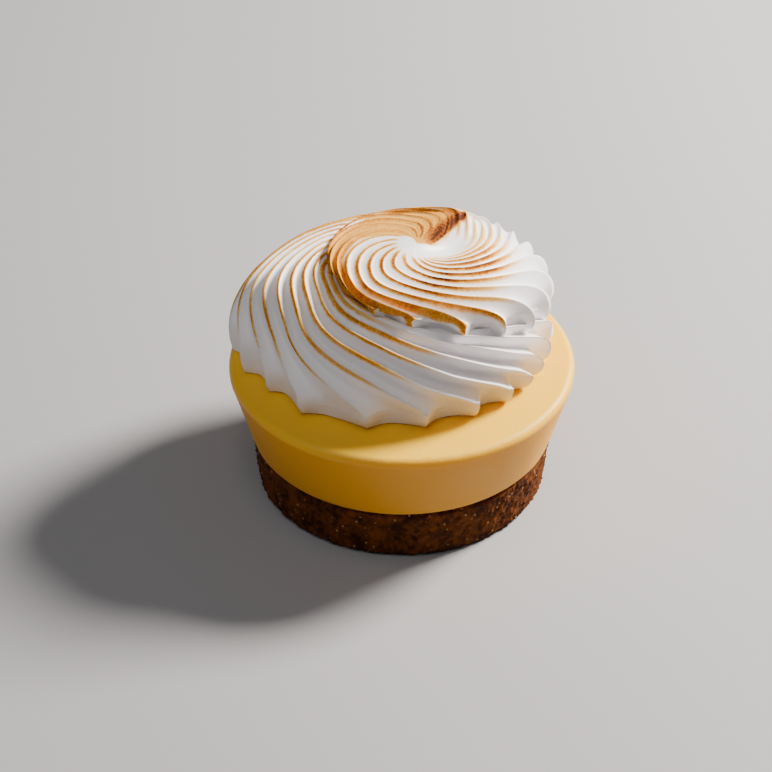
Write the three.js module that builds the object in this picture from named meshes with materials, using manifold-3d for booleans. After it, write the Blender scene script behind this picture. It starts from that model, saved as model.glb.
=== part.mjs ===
// A single-portion lemon meringue pie: a crumb disc, a lemon filling that widens upwards, and a
// piped meringue swirl of two turns. Millimetres, +Z up, origin at the middle of the underside.
import * as THREE from 'three';
import { mergeVertices } from 'three/addons/utils/BufferGeometryUtils.js';
import Module from 'manifold-3d';

const wasm = await Module();
wasm.setup();

// ---------------------------------------------------------------- driving dimensions

const gap = 0.3;
const sameCorner = 1e-4;
const joinGrain = 0.02;

const crumb = {
  footRadius: 34.1,
  topRadius: 35.2,
  height: 13.1,
  edge: 1.0,
  roughness: 0.45,
  grains: [2.1, 1.7, 1.3, 3.7, 2.3, 2.9],
  columns: 96,
  wallRows: 6,
};

const lemon = {
  footRadius: 35.3,
  topRadius: 40.0,
  height: 19.0,
  footEdge: 0.5,
  shoulder: 3.0,
  columns: 72,
  shoulderRows: 4,
};

const lemonFoot = crumb.height + gap;
const lemonTop = crumb.height + lemon.height;
const meringueFoot = lemonTop + gap;

// A turn of piping is a dome whose level curves slide from its rim to the middle of its swirl.
// Its ridges start there and wind out to the rim, where they curl under as fins. The lists of
// three numbers under reach and lift are an amount, a direction and a width in degrees.
const lowerTurn = {
  rimCentre: [-2.5, 3.6],
  rimRadii: [37.4, 33.6],
  swirlCentre: [4.5, 6.7],
  slide: 1.0,
  topHeight: 56.4,
  rimHeight: 35.4,
  rimTilt: [0.9, -1.5],
  bulge: 4.4,
  flank: 1.75,
  winding: [4.96, 6.9, 10.83],
  ridges: 25,
  firstRidge: 214.2,
  spread: { amount: 7.9, towards: 292 },
  wave: { amount: 11.5, rise: [-140, -105], fall: [-10, 150], until: 3 },
  sweep: [12, -71, 34],
  reach: [[-0.06, 216, 19]],
  lift: [[4.5, 190, 32]],
  valley: { depth: 3.85, swing: 0.2, growth: 1.6 },
  curl: { turn: 62, depth: 0.04, swing: 0.4 },
  innerStop: 0.3,
  rows: 16,
  curlRows: 4,
  columnsPerRidge: 6,
};

const upperTurn = {
  rimCentre: [8.8, 5.4],
  rimRadii: [25.8, 25.5],
  swirlCentre: [3.1, 5.7],
  slide: 5.0,
  topHeight: 58.4,
  rimHeight: 50.7,
  rimTilt: [-4.8, -3.7],
  bulge: 3.8,
  flank: 2.3,
  winding: [2.87, -0.85, -1.44],
  ridges: 21,
  firstRidge: 223.8,
  spread: { amount: 18.6, towards: 348 },
  wave: { amount: 11, rise: [-128, -92], fall: [-60, 150], until: 1 },
  sweep: [-5, -107, 12],
  reach: [[0.045, 45, 32], [0.06, -130, 22]],
  lift: [[0.8, 45, 35]],
  valley: { depth: 2.8, swing: 0.3, growth: 1.5 },
  curl: { turn: 90, depth: 0.1, swing: 0.35 },
  innerStop: 0,
  rows: 12,
  curlRows: 4,
  columnsPerRidge: 6,
};

// The upper turn's curl reaches about this far under its rim, and its solid ends at the seat,
// inside the lower turn, which its weight presses down over these shares of its radius.
const upperSkirt = { depth: 3.7, swing: 0.6 };
const upperSeat = 38;
const press = { depth: 3.4, from: 0.75, to: 1.1 };

// Fins stand open on this side. A wave in the ridges fades over the last part of its way, a
// sweep of their ends sets in over this part of the way to the rim, and the pressing and the
// peak fade out over this share of the way in from it.
const openTowards = -25;
const waveFade = 0.4;
const sweepFade = [0.75, 1.08];
const rimFade = 0.3;

// The crests are sharp, with round hollows between them, deepest near the crest before. Under
// the rim a hollow's floor runs straight down, but it keeps the least share of its depth.
const fluting = { sharpness: 0.95, deepest: 0.36, upright: [0.9, 1.15], least: 0.3 };

// The nozzle is pulled away to the back right. That leaves a peak whose left side slopes
// gently, and a smooth hollow on its right. Both are placed ahead of its tip and left of it.
const peak = { at: [14.5, 16.5], pull: 43, rise: 3.2, tail: 14, nose: 3.5, left: 8, right: 2.4 };
const hollow = { ahead: -8.5, left: -4.2, length: 7.5, width: 4, depth: 2.2, calm: 1.3, spread: 1.15 };
const slope = { ahead: -6, left: 4, length: 10, width: 5, calm: 0.7 };

// ---------------------------------------------------------------- small helpers

const radians = THREE.MathUtils.degToRad;
const smooth = THREE.MathUtils.smoothstep;

// A smooth uneven number between -1 and 1: two crossed sets of waves through a place.
function unevenness(x, y, z) {
  const [first, second, third, fourth, fifth, sixth] = crumb.grains;
  const coarse = Math.sin(first * x + third * z) * Math.cos(second * y - z);
  const fine = Math.sin(fourth * y + fifth * x) * Math.cos(sixth * z);
  return (coarse + fine) / 2;
}

function closedGeometry(positions, indices) {
  const geometry = new THREE.BufferGeometry();
  geometry.setAttribute('position', new THREE.Float32BufferAttribute(positions, 3));
  geometry.setIndex(indices);
  return geometry;
}

// A lathe about Z: its profile runs from the axis underneath to the axis on top.
function turnedSolid(profile, columns) {
  const lathe = new THREE.LatheGeometry(profile, columns);
  lathe.rotateX(Math.PI / 2);
  lathe.deleteAttribute('normal');
  lathe.deleteAttribute('uv');
  return mergeVertices(lathe, sameCorner);
}

function arcPoints(centre, radius, from, to, steps) {
  const points = [];
  for (let step = 0; step <= steps; step += 1) {
    const angle = radians(from + ((to - from) * step) / steps);
    const across = centre.x + radius * Math.cos(angle);
    const up = centre.y + radius * Math.sin(angle);
    points.push(new THREE.Vector2(across, up));
  }
  return points;
}

// ---------------------------------------------------------------- crumb disc

function crumbGeometry() {
  const { footRadius, topRadius, height, edge, roughness, columns, wallRows } = crumb;
  const profile = [new THREE.Vector2(0, 0), new THREE.Vector2(footRadius - edge, 0)];
  for (let row = 0; row <= wallRows; row += 1) {
    const share = row / wallRows;
    const up = edge + (height - 2 * edge) * share;
    profile.push(new THREE.Vector2(footRadius + (topRadius - footRadius) * share, up));
  }
  profile.push(new THREE.Vector2(topRadius - edge, height), new THREE.Vector2(0, height));
  const geometry = turnedSolid(profile, columns);
  const place = geometry.getAttribute('position');
  for (let index = 0; index < place.count; index += 1) {
    const x = place.getX(index);
    const y = place.getY(index);
    const z = place.getZ(index);
    const inset = z <= 0 || z >= height ? 0 : roughness;
    const share = 1 - (inset * (1 + unevenness(x, y, z))) / (2 * footRadius);
    place.setXY(index, x * share, y * share);
  }
  return geometry;
}

// ---------------------------------------------------------------- lemon filling

function lemonGeometry() {
  const { footRadius, topRadius, footEdge, shoulder, shoulderRows, columns } = lemon;
  const centre = new THREE.Vector2(topRadius - shoulder, lemonTop - shoulder);
  const wallLean = THREE.MathUtils.radToDeg(Math.atan((topRadius - footRadius) / lemon.height));
  const profile = [
    new THREE.Vector2(0, lemonFoot),
    new THREE.Vector2(footRadius - footEdge, lemonFoot),
    new THREE.Vector2(footRadius, lemonFoot + footEdge),
    ...arcPoints(centre, shoulder, -wallLean, 0, 1).slice(0, 1),
    ...arcPoints(centre, shoulder, 0, 90, shoulderRows),
    new THREE.Vector2(0, lemonTop),
  ];
  return turnedSolid(profile, columns);
}

// ---------------------------------------------------------------- meringue

function bell(value, width) {
  return Math.exp(-((value / width) ** 2));
}

// An amount that holds towards one direction and fades round it.
function oneSide(heading, [amount, towards, width]) {
  const degrees = THREE.MathUtils.radToDeg(heading) - towards;
  return amount * bell(THREE.MathUtils.euclideanModulo(degrees + 180, 360) - 180, width);
}

function outShare(way) {
  return 1 - (1 - Math.min(way, 1)) ** 2;
}

// The direction from the middle to a place on a ridge; a half number is a hollow.
function bearing(turn, ridge, way) {
  const even = turn.firstRidge + (360 * ridge) / turn.ridges;
  const uneven = turn.spread.amount * Math.cos(radians(even - turn.spread.towards));
  const back = Math.max(outShare(way), turn.innerStop) - 1;
  const [first, second, third] = turn.winding;
  const wound = back * (first + back * (second + back * third));
  const heading = radians(even + uneven) + wound;
  const { amount, rise, fall, until } = turn.wave;
  const from = fall[1] - 360;
  const degrees = THREE.MathUtils.radToDeg(heading) - from;
  const turned = THREE.MathUtils.euclideanModulo(degrees, 360) + from;
  const wave = amount * (smooth(turned, ...rise) - smooth(turned, ...fall));
  const kept = 1 - smooth(way, until - waveFade, until);
  const swept = oneSide(heading, turn.sweep) * smooth(way, ...sweepFade);
  return heading + radians(wave * kept + swept);
}

// More than 1 on the side where the fins stand open, and less on the other side.
function openness(heading, swing) {
  return 1 + swing * Math.cos(heading - radians(openTowards));
}

// How far the crests draw back under the rim, as a share of its radius.
function curledUnder(turn, heading, way) {
  const most = radians(turn.curl.turn);
  const share = (1 - Math.cos(Math.max(way - 1, 0) * most)) / (1 - Math.cos(most));
  return turn.curl.depth * openness(heading, turn.curl.swing) * share;
}

// The upper turn's weight sinks the lower one where it lies.
function pressed(x, y) {
  const across = (x - upperTurn.rimCentre[0]) / upperTurn.rimRadii[0];
  const along = (y - upperTurn.rimCentre[1]) / upperTurn.rimRadii[1];
  return press.depth * (1 - smooth(Math.hypot(across, along), press.from, press.to));
}

// How far a place is ahead of the peak's tip and left of it, along the nozzle's pull.
function seenFromPeak(x, y) {
  const along = radians(peak.pull);
  const dx = x - peak.at[0];
  const dy = y - peak.at[1];
  return {
    ahead: dx * Math.cos(along) + dy * Math.sin(along),
    left: dy * Math.cos(along) - dx * Math.sin(along),
  };
}

// How much of a long round area beside the peak a place gets, from 0 to 1.
function areaShare(area, { ahead, left }, spread) {
  const lengthwise = (ahead - area.ahead) / (area.length * spread);
  const crosswise = (left - area.left) / (area.width * spread);
  return bell(Math.hypot(lengthwise, crosswise), 1);
}

function peakRise(x, y) {
  const { ahead, left } = seenFromPeak(x, y);
  const lengthwise = ahead < 0 ? Math.exp(ahead / peak.tail) : bell(ahead, peak.nose);
  const rise = peak.rise * lengthwise * bell(left, left > 0 ? peak.left : peak.right);
  return rise - hollow.depth * areaShare(hollow, { ahead, left }, 1);
}

// How much of the upper turn's ridges is left near the peak, from 0 to 1.
function reliefShare(x, y) {
  const place = seenFromPeak(x, y);
  const calmHollow = Math.min(hollow.calm * areaShare(hollow, place, hollow.spread), 1);
  return 1 - Math.max(slope.calm * areaShare(slope, place, 1), calmHollow);
}

// A point of the swirl's crests. `way` runs from 0 in the middle to 1 at the rim and 2 at the
// end of the curl under it.
function crestPoint(turn, ridge, way) {
  const out = outShare(way);
  const heading = bearing(turn, ridge, way);
  const total = (bumps) => bumps.reduce((sum, bump) => sum + oneSide(heading, bump), 0);
  const reach = out * (1 - curledUnder(turn, heading, way)) * (1 + total(turn.reach));
  const slide = 1 - out ** turn.slide;
  const x = turn.rimCentre[0] + (turn.swirlCentre[0] - turn.rimCentre[0]) * slide
    + turn.rimRadii[0] * reach * Math.cos(heading);
  const y = turn.rimCentre[1] + (turn.swirlCentre[1] - turn.rimCentre[1]) * slide
    + turn.rimRadii[1] * reach * Math.sin(heading);
  const rim = turn.rimHeight + turn.rimTilt[0] * Math.cos(heading)
    + turn.rimTilt[1] * Math.sin(heading) + total(turn.lift);
  const dome = Math.max(1 - out ** turn.bulge, 0) ** (1 / turn.flank);
  const skirt = upperSkirt.depth * openness(heading, upperSkirt.swing);
  const foot = turn === lowerTurn ? meringueFoot : rim - skirt;
  const most = radians(turn.curl.turn);
  const drop = Math.sin(Math.max(way - 1, 0) * most) / Math.sin(most);
  const z = rim + (turn.topHeight - rim) * dome - (rim - foot) * drop;
  const change = turn === lowerTurn ? -pressed(x, y) : peakRise(x, y);
  return new THREE.Vector3(x, y, z + change * smooth(1 - out, 0, rimFade));
}

// The outward direction at a crest point, from its neighbours, which is level under the rim.
function outward(turn, ridge, way) {
  const step = 0.02;
  const pole = 0.001;
  const before = crestPoint(turn, ridge - step, way);
  const after = crestPoint(turn, ridge + step, way);
  const inner = crestPoint(turn, ridge, Math.max(way - step, pole));
  const outer = crestPoint(turn, ridge, Math.min(way + step, 2));
  const normal = outer.sub(inner).cross(after.sub(before)).normalize();
  normal.z *= 1 - smooth(way, ...fluting.upright);
  return normal.normalize();
}

// How deep the surface lies between its crests, in millimetres.
function hollowDepth(turn, ridge, way, point) {
  const heading = bearing(turn, ridge, way);
  const { depth, swing, growth } = turn.valley;
  let full = depth * openness(heading, swing) * Math.min(way, 1) ** growth;
  if (turn === upperTurn) {
    full *= reliefShare(point.x, point.y);
  }
  const drawnBack = turn.rimRadii[0] * curledUnder(turn, heading, way);
  const across = ridge % 1;
  const rising = across / fluting.deepest;
  const falling = (1 - across) / (1 - fluting.deepest);
  const share = Math.sin((Math.PI / 2) * Math.min(rising, falling)) ** fluting.sharpness;
  return Math.max(full - drawnBack, fluting.least * full) * share;
}

function turnGeometry(turn, seat) {
  const columns = turn.ridges * turn.columnsPerRidge;
  const ways = [];
  for (let row = 1; row <= turn.rows; row += 1) {
    ways.push(row / turn.rows);
  }
  for (let row = 1; row <= turn.curlRows; row += 1) {
    ways.push(1 + row / turn.curlRows);
  }
  const positions = [...crestPoint(turn, 0, 0).toArray()];
  for (const way of ways) {
    for (let column = 0; column < columns; column += 1) {
      const ridge = column / turn.columnsPerRidge;
      const point = crestPoint(turn, ridge, way);
      const depth = hollowDepth(turn, ridge, way, point);
      positions.push(...point.addScaledVector(outward(turn, ridge, way), -depth).toArray());
    }
  }
  positions.push(...turn.rimCentre, seat);
  const ring = (row, column) => 1 + row * columns + (column % columns);
  const last = ways.length - 1;
  const foot = positions.length / 3 - 1;
  const indices = [];
  for (let column = 0; column < columns; column += 1) {
    indices.push(0, ring(0, column), ring(0, column + 1));
    indices.push(foot, ring(last, column + 1), ring(last, column));
    for (let row = 0; row < last; row += 1) {
      const inner = ring(row, column);
      const innerNext = ring(row, column + 1);
      const outer = ring(row + 1, column);
      const outerNext = ring(row + 1, column + 1);
      indices.push(inner, outer, outerNext, inner, outerNext, innerNext);
    }
  }
  return closedGeometry(positions, indices);
}

function manifoldOf(geometry) {
  const vertProperties = new Float32Array(geometry.getAttribute('position').array);
  const triVerts = new Uint32Array(geometry.getIndex().array);
  return new wasm.Manifold(new wasm.Mesh({ numProp: 3, vertProperties, triVerts }));
}

// Where two surfaces cross, corners closer than the grain become one and their slivers go.
function withoutSlivers(positions, indices) {
  const rounded = Array.from(positions, (value) => Math.round(value / joinGrain) * joinGrain);
  const merged = mergeVertices(closedGeometry(rounded, Array.from(indices)), sameCorner);
  const corners = merged.getIndex().array;
  const kept = [];
  for (let first = 0; first < corners.length; first += 3) {
    const [a, b, c] = corners.slice(first, first + 3);
    if (a !== b && b !== c && c !== a) {
      kept.push(a, b, c);
    }
  }
  merged.setIndex(kept);
  return merged;
}

// Both turns as one solid. The largest shell is its outside, so no sealed pocket is left.
function meringueGeometry() {
  const lower = manifoldOf(turnGeometry(lowerTurn, meringueFoot));
  const upper = manifoldOf(turnGeometry(upperTurn, upperSeat));
  const shells = lower.add(upper).decompose();
  const [outer] = shells.sort((one, other) => other.volume() - one.volume());
  const joined = outer.getMesh();
  return withoutSlivers(joined.vertProperties, joined.triVerts);
}

// ---------------------------------------------------------------- the pie

const finishes = {
  crumb: new THREE.MeshStandardMaterial({ color: '#5a3014', roughness: 0.95, metalness: 0 }),
  lemon: new THREE.MeshStandardMaterial({ color: '#e3b23c', roughness: 0.45, metalness: 0 }),
  meringue: new THREE.MeshStandardMaterial({ color: '#f1ecec', roughness: 0.4, metalness: 0 }),
};

function piece(name, geometry, material) {
  const mesh = new THREE.Mesh(geometry, material);
  mesh.name = name;
  return mesh;
}

const pie = new THREE.Group();
pie.add(piece('crumb_base', crumbGeometry(), finishes.crumb));
pie.add(piece('lemon_filling', lemonGeometry(), finishes.lemon));
pie.add(piece('meringue', meringueGeometry(), finishes.meringue));

export default pie;
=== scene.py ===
"""A single-portion lemon meringue pie: crumb disc, lemon filling and a torched, piped swirl.

The shapes are worked out in millimetres and degrees, and the finished meshes are in metres.
"""
import math
from dataclasses import dataclass

import bmesh
import bpy
import numpy as np
from bpy.props import FloatProperty, FloatVectorProperty, IntProperty, PointerProperty
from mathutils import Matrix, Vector, noise


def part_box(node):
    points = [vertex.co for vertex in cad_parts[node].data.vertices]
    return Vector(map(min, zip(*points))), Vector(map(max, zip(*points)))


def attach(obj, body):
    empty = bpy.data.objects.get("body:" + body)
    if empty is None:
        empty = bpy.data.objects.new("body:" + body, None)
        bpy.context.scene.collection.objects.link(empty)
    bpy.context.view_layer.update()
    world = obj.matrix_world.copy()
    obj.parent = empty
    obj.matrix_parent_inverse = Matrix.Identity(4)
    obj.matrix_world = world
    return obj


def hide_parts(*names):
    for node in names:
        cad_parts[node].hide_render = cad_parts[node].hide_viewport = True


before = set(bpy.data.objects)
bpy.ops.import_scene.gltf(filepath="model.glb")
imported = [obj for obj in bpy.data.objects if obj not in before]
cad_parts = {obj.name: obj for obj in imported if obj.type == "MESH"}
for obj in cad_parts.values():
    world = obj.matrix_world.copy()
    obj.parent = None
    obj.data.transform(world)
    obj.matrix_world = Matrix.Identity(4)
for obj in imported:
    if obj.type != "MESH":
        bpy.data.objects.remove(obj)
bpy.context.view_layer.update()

bl_info = {
    "name": "Lemon Meringue Pie",
    "version": (1, 0, 0),
    "blender": (4, 5, 0),
    "location": "View3D > Sidebar > Pie",
    "description": "Builds a single-portion lemon meringue pie with a torched, piped swirl",
    "category": "Add Mesh",
}

METRE = 0.001
CRUMB_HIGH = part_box("crumb_base")[1] / METRE
LEMON_LOW, LEMON_HIGH = (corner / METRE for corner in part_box("lemon_filling"))
MERINGUE_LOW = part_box("meringue")[0] / METRE


# ------------------------------ the swirl's shape

@dataclass
class Turn:
    """One turn of the piping: a dome whose level curves slide from its rim to its swirl.

    Its ridges start in the middle of the swirl and wind out to the rim, where they curl
    under as fins. Lengths are in millimetres and angles in degrees.
    """

    rim_centre: tuple
    rim_radii: tuple
    swirl_centre: tuple
    slide: float
    top_height: float
    rim_height: float
    rim_tilt: tuple
    bulge: float
    flank: float
    winding: tuple
    first_ridge: float
    spread: float
    spread_towards: float
    open_towards: float
    valley: float
    valley_swing: float
    valley_growth: float
    curl_turn: float
    curl_depth: float
    curl_swing: float
    inner_stop: float
    seat: float
    wave: tuple
    wave_until: float
    sweep: tuple
    reach: tuple
    lift: tuple


LOWER_TURN = Turn(
    rim_centre=(-2.5, 3.6),
    rim_radii=(37.4, 33.6),
    swirl_centre=(4.5, 6.7),
    slide=1.0,
    top_height=56.4,
    rim_height=35.4,
    rim_tilt=(0.9, -1.5),
    bulge=4.4,
    flank=1.75,
    winding=(4.96, 6.9, 10.83),
    first_ridge=214.2,
    spread=7.9,
    spread_towards=292,
    open_towards=-25,
    valley=3.85,
    valley_swing=0.2,
    valley_growth=1.6,
    curl_turn=62,
    curl_depth=0.04,
    curl_swing=0.4,
    inner_stop=0.3,
    seat=MERINGUE_LOW.z,
    wave=(11.5, -140, -105, -10, 150),
    wave_until=3.0,
    sweep=(12.0, -71, 34),
    reach=((-0.06, 216, 19),),
    lift=((4.5, 190, 32),),
)

UPPER_TURN = Turn(
    rim_centre=(8.8, 5.4),
    rim_radii=(25.8, 25.5),
    swirl_centre=(3.1, 5.7),
    slide=5.0,
    top_height=58.4,
    rim_height=50.7,
    rim_tilt=(-4.8, -3.7),
    bulge=3.8,
    flank=2.3,
    winding=(2.87, -0.85, -1.44),
    first_ridge=223.8,
    spread=18.6,
    spread_towards=348,
    open_towards=-25,
    valley=2.8,
    valley_swing=0.3,
    valley_growth=1.5,
    curl_turn=90,
    curl_depth=0.15,
    curl_swing=0.35,
    inner_stop=0.0,
    seat=38.0,
    wave=(11.0, -128, -92, -60, 150),
    wave_until=1.0,
    sweep=(-5.0, -107, 12),
    reach=((0.045, 45, 32), (0.06, -130, 22)),
    lift=((0.8, 45, 35),),
)

UPPER_SKIRT = 3.7
SKIRT_SWING = 0.6
RIM_FADE = 0.3
WAVE_FADE = 0.4
SWEEP_FROM = 0.75
SWEEP_TO = 1.08

# The upper turn presses the lower one down by this much, over these shares of its radius.
PRESS_DEPTH = 3.4
PRESS_FROM = 0.75
PRESS_TO = 1.1

# The crests are sharp, with round hollows between them. A hollow is deepest near the crest
# before it. Under the rim its floor runs straight down while the crests curl in towards it,
# but it always keeps this share of its depth.
CREST_SHARPNESS = 0.95
DEEPEST = 0.36
UPRIGHT_FROM = 0.9
UPRIGHT_TO = 1.15
LEAST_HOLLOW = 0.3

# The nozzle is pulled away to the back right. That leaves a peak whose left side slopes
# gently, and a smooth hollow on its right. Both are placed ahead of its tip and left of it.
PEAK_AT = (14.5, 16.5)
PEAK_PULL = 43
PEAK_RISE = 3.0
PEAK_TAIL = 14.0
PEAK_NOSE = 3.5
PEAK_LEFT = 8.0
PEAK_RIGHT = 2.4
HOLLOW_AHEAD = -8.5
HOLLOW_LEFT = -4.2
HOLLOW_LENGTH = 7.5
HOLLOW_WIDTH = 4.0
HOLLOW_DEPTH = 2.2

# The ridges are shallower round the peak: in the hollow, on the slope left of the tip, and
# behind the tip. A calm is how much of their depth is gone there, up to all of it.
HOLLOW_CALM = 1.3
HOLLOW_CALM_SPREAD = 1.15
SLOPE_AHEAD = -6.0
SLOPE_LEFT = 4.0
SLOPE_LENGTH = 10.0
SLOPE_WIDTH = 5.0
SLOPE_CALM = 0.7
BACK_CALM = 0.45
BACK_FROM = 4.0
BACK_TO = 10.0
BACK_LEFT = -1.0
BACK_WIDTH = 7.0


def smooth_step(value, low, high):
    """A smooth rise from 0 at low to 1 at high."""
    share = np.clip((value - low) / (high - low), 0, 1)
    return share * share * (3 - 2 * share)


def bell(value, width):
    """A smooth bump of height 1 and the given half width."""
    return np.exp(-((value / width) ** 2))


def pressed(x, y):
    """How far the upper turn's weight sinks the lower one."""
    across = (x - UPPER_TURN.rim_centre[0]) / UPPER_TURN.rim_radii[0]
    along = (y - UPPER_TURN.rim_centre[1]) / UPPER_TURN.rim_radii[1]
    return PRESS_DEPTH * (1 - smooth_step(np.hypot(across, along), PRESS_FROM, PRESS_TO))


def seen_from_peak(x, y):
    """How far a place is ahead of the peak's tip and left of it, along the nozzle's pull."""
    pull = math.radians(PEAK_PULL)
    dx = x - PEAK_AT[0]
    dy = y - PEAK_AT[1]
    ahead = dx * math.cos(pull) + dy * math.sin(pull)
    left = dy * math.cos(pull) - dx * math.sin(pull)
    return ahead, left


def hollow_share(ahead, left, spread=1.0):
    """How much of the hollow beside the peak a place gets, from 0 to 1."""
    lengthwise = (ahead - HOLLOW_AHEAD) / (HOLLOW_LENGTH * spread)
    crosswise = (left - HOLLOW_LEFT) / (HOLLOW_WIDTH * spread)
    return bell(np.hypot(lengthwise, crosswise), 1.0)


def peak_rise(x, y):
    """The height that the peak adds to the upper turn, less the hollow beside it."""
    ahead, left = seen_from_peak(x, y)
    tail = np.exp(np.minimum(ahead, 0) / PEAK_TAIL)
    lengthwise = np.where(ahead < 0, tail, bell(ahead, PEAK_NOSE))
    width = np.where(left > 0, PEAK_LEFT, PEAK_RIGHT)
    rise = PEAK_RISE * lengthwise * bell(left, width)
    return rise - HOLLOW_DEPTH * hollow_share(ahead, left)


def relief_share(x, y):
    """How much of the upper turn's ridges is left near the peak, from 0 to 1."""
    ahead, left = seen_from_peak(x, y)
    lengthwise = (ahead - SLOPE_AHEAD) / SLOPE_LENGTH
    crosswise = (left - SLOPE_LEFT) / SLOPE_WIDTH
    slope = SLOPE_CALM * bell(np.hypot(lengthwise, crosswise), 1.0)
    hollow = np.minimum(HOLLOW_CALM * hollow_share(ahead, left, HOLLOW_CALM_SPREAD), 1)
    behind = smooth_step(ahead, BACK_FROM, BACK_TO)
    back = BACK_CALM * behind * bell(left - BACK_LEFT, BACK_WIDTH)
    return (1 - np.maximum(slope, hollow)) * (1 - back)


def one_side(heading, amount, towards, width):
    """An amount that holds towards one direction and fades round it, in degrees."""
    off = (np.degrees(heading) - towards + 180) % 360 - 180
    return amount * bell(off, width)


def out_share(way):
    """How far out from the middle to the rim a way is, from 0 to 1."""
    return 1 - (1 - np.minimum(way, 1)) ** 2


def bearing(turn, ridges, ridge, way):
    """The direction from the middle to a place on a ridge; a half number is a valley."""
    even = turn.first_ridge + 360 * ridge / ridges
    uneven = turn.spread * np.cos(np.radians(even - turn.spread_towards))
    back = np.maximum(out_share(way), turn.inner_stop) - 1
    first, second, third = turn.winding
    wound = back * (first + back * (second + back * third))
    heading = np.radians(even + uneven) + wound
    amount, rise_from, rise_to, fall_from, fall_to = turn.wave
    degrees = (np.degrees(heading) - fall_to) % 360 + fall_to - 360
    wave = smooth_step(degrees, rise_from, rise_to) - smooth_step(degrees, fall_from, fall_to)
    fade = smooth_step(way, turn.wave_until - WAVE_FADE, turn.wave_until)
    wave = amount * wave * (1 - fade)
    swept = one_side(heading, *turn.sweep) * smooth_step(way, SWEEP_FROM, SWEEP_TO)
    return heading + np.radians(wave + swept)


def openness(turn, heading, swing):
    """More than 1 on the side where the fins stand open, and less on the other side."""
    return 1 + swing * np.cos(heading - math.radians(turn.open_towards))


def curled_under(turn, heading, way):
    """How far the crests draw back under the rim, as a share of its radius."""
    most = math.radians(turn.curl_turn)
    angle = np.maximum(way - 1, 0) * most
    share = (1 - np.cos(angle)) / (1 - math.cos(most))
    return turn.curl_depth * openness(turn, heading, turn.curl_swing) * share


def crest_point(turn, ridges, ridge, way):
    """Places on the swirl's crests, in millimetres.

    way runs from 0 in the middle to 1 at the rim and 2 at the end of the curl under it.
    """
    out = out_share(way)
    heading = bearing(turn, ridges, ridge, way)
    reach = out * (1 - curled_under(turn, heading, way))
    reach = reach * (1 + sum(one_side(heading, *bump) for bump in turn.reach))
    slide = 1 - out ** turn.slide
    shift_x = (turn.swirl_centre[0] - turn.rim_centre[0]) * slide
    shift_y = (turn.swirl_centre[1] - turn.rim_centre[1]) * slide
    x = turn.rim_centre[0] + shift_x + turn.rim_radii[0] * reach * np.cos(heading)
    y = turn.rim_centre[1] + shift_y + turn.rim_radii[1] * reach * np.sin(heading)
    rim = turn.rim_height + turn.rim_tilt[0] * np.cos(heading)
    rim = rim + turn.rim_tilt[1] * np.sin(heading)
    rim = rim + sum(one_side(heading, *bump) for bump in turn.lift)
    dome = np.maximum(1 - out ** turn.bulge, 0) ** (1 / turn.flank)
    skirt = UPPER_SKIRT * openness(turn, heading, SKIRT_SWING)
    foot = MERINGUE_LOW.z if turn is LOWER_TURN else rim - skirt
    most = math.radians(turn.curl_turn)
    drop = np.sin(np.maximum(way - 1, 0) * most) / math.sin(most)
    z = rim + (turn.top_height - rim) * dome - (rim - foot) * drop
    change = -pressed(x, y) if turn is LOWER_TURN else peak_rise(x, y)
    z = z + change * smooth_step(1 - out, 0, RIM_FADE)
    return np.stack([x, y, z], axis=-1)


def unit(vectors):
    """Vectors of length 1."""
    length = np.linalg.norm(vectors, axis=-1, keepdims=True)
    return vectors / np.maximum(length, 1e-12)


def outward(turn, ridges, ridge, way):
    """The outward direction at places on the crests, level under the rim, and a ridge's width."""
    step = 0.02
    pole = 0.001
    before = crest_point(turn, ridges, ridge - step, way)
    after = crest_point(turn, ridges, ridge + step, way)
    inner = crest_point(turn, ridges, ridge, np.maximum(way - step, pole))
    outer = crest_point(turn, ridges, ridge, np.minimum(way + step, 2))
    normal = unit(np.cross(outer - inner, after - before))
    normal[:, 2] *= 1 - smooth_step(way, UPRIGHT_FROM, UPRIGHT_TO)
    along = unit(outer - inner)
    across = (after - before) / (2 * step)
    across = across - along * np.sum(across * along, axis=-1, keepdims=True)
    return unit(normal), np.linalg.norm(across, axis=-1)


def swirl_surface(turn, ridges, depth, ridge, way):
    """Places on the finished surface, and the width of one ridge there."""
    curled = np.minimum(way, 2)
    normal, width = outward(turn, ridges, ridge, curled)
    place = crest_point(turn, ridges, ridge, curled)
    heading = bearing(turn, ridges, ridge, curled)
    hollow = depth * turn.valley * openness(turn, heading, turn.valley_swing)
    hollow = hollow * np.minimum(curled, 1) ** turn.valley_growth
    if turn is UPPER_TURN:
        hollow = hollow * relief_share(place[:, 0], place[:, 1])
    drawn_back = turn.rim_radii[0] * curled_under(turn, heading, curled)
    hollow = np.maximum(hollow - drawn_back, LEAST_HOLLOW * hollow)
    across = ridge % 1
    rising = across / DEEPEST
    falling = (1 - across) / (1 - DEEPEST)
    share = np.sin(np.pi / 2 * np.minimum(rising, falling)) ** CREST_SHARPNESS
    place = place - normal * (hollow * share)[:, None]
    inside = np.clip(way - 2, 0, 1)[:, None]
    seat = np.array([*turn.rim_centre, turn.seat])
    return place + (seat - place) * inside, width


# ------------------------------ settings

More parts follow.
